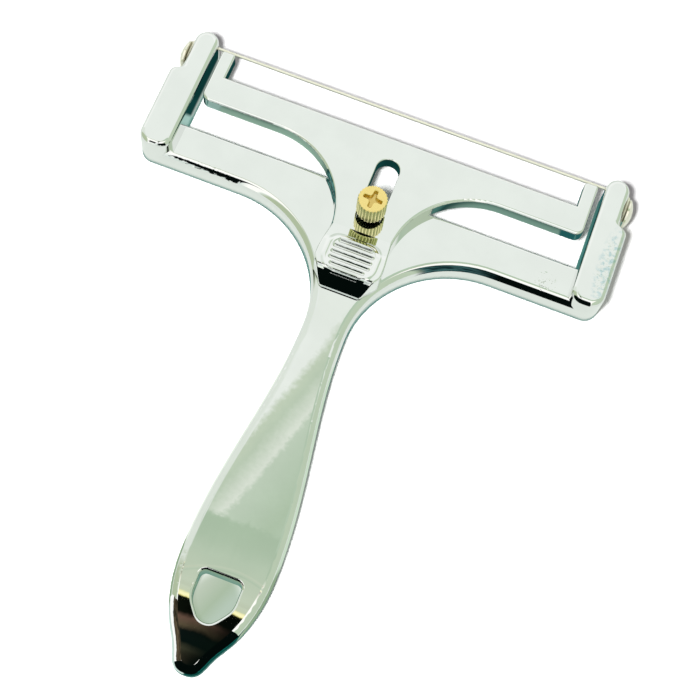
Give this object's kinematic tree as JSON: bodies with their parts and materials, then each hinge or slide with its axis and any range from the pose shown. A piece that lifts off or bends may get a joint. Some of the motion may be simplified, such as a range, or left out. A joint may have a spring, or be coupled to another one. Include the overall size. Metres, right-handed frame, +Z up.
{
  "type": "adjustable wire cheese slicer",
  "caption": "Hand cheese slicer: a tensioned wire between two ears of a flat handle, with a sliding T-shaped gauge plate held by a knurled thumbscrew.",
  "frame": {"origin": "under the middle of the whole length, on the plane that the slicer lies on", "axes": "+X along the cutting wire, +Y from the handle's end towards the wire, +Z up from the table to the thumbscrew"},
  "size_m": [0.1334, 0.165, 0.0191],
  "materials": {
    "frame_chrome": "mirror chrome plating on a zinc die-casting",
    "plate_chrome": "mirror chrome plating on a zinc die-casting",
    "brass": "turned and knurled, lightly polished",
    "wire_steel": "drawn stainless wire",
    "screw_nickel": "nickel plated screw head"
  },
  "bodies": {
    "slicer_frame": {"frame": "frame_chrome", "cutting_wire": "wire_steel", "left_wire_screw": "screw_nickel", "right_wire_screw": "screw_nickel"},
    "gauge_slide": {"gauge_plate": "plate_chrome"},
    "clamp_screw": {"thumbscrew": "brass"}
  },
  "joints": [
    {"name": "gauge_plate_slide", "type": "slide", "parent": "slicer_frame", "child": "gauge_slide", "axis": [0, 1, 0], "range_m": [-0.0124, 0]},
    {"name": "thumbscrew_turn", "type": "hinge", "parent": "slicer_frame", "child": "clamp_screw", "pos_m": [0, 0.0469, 0.0126], "axis": [0, 0, 1], "continuous": true}
  ]
}
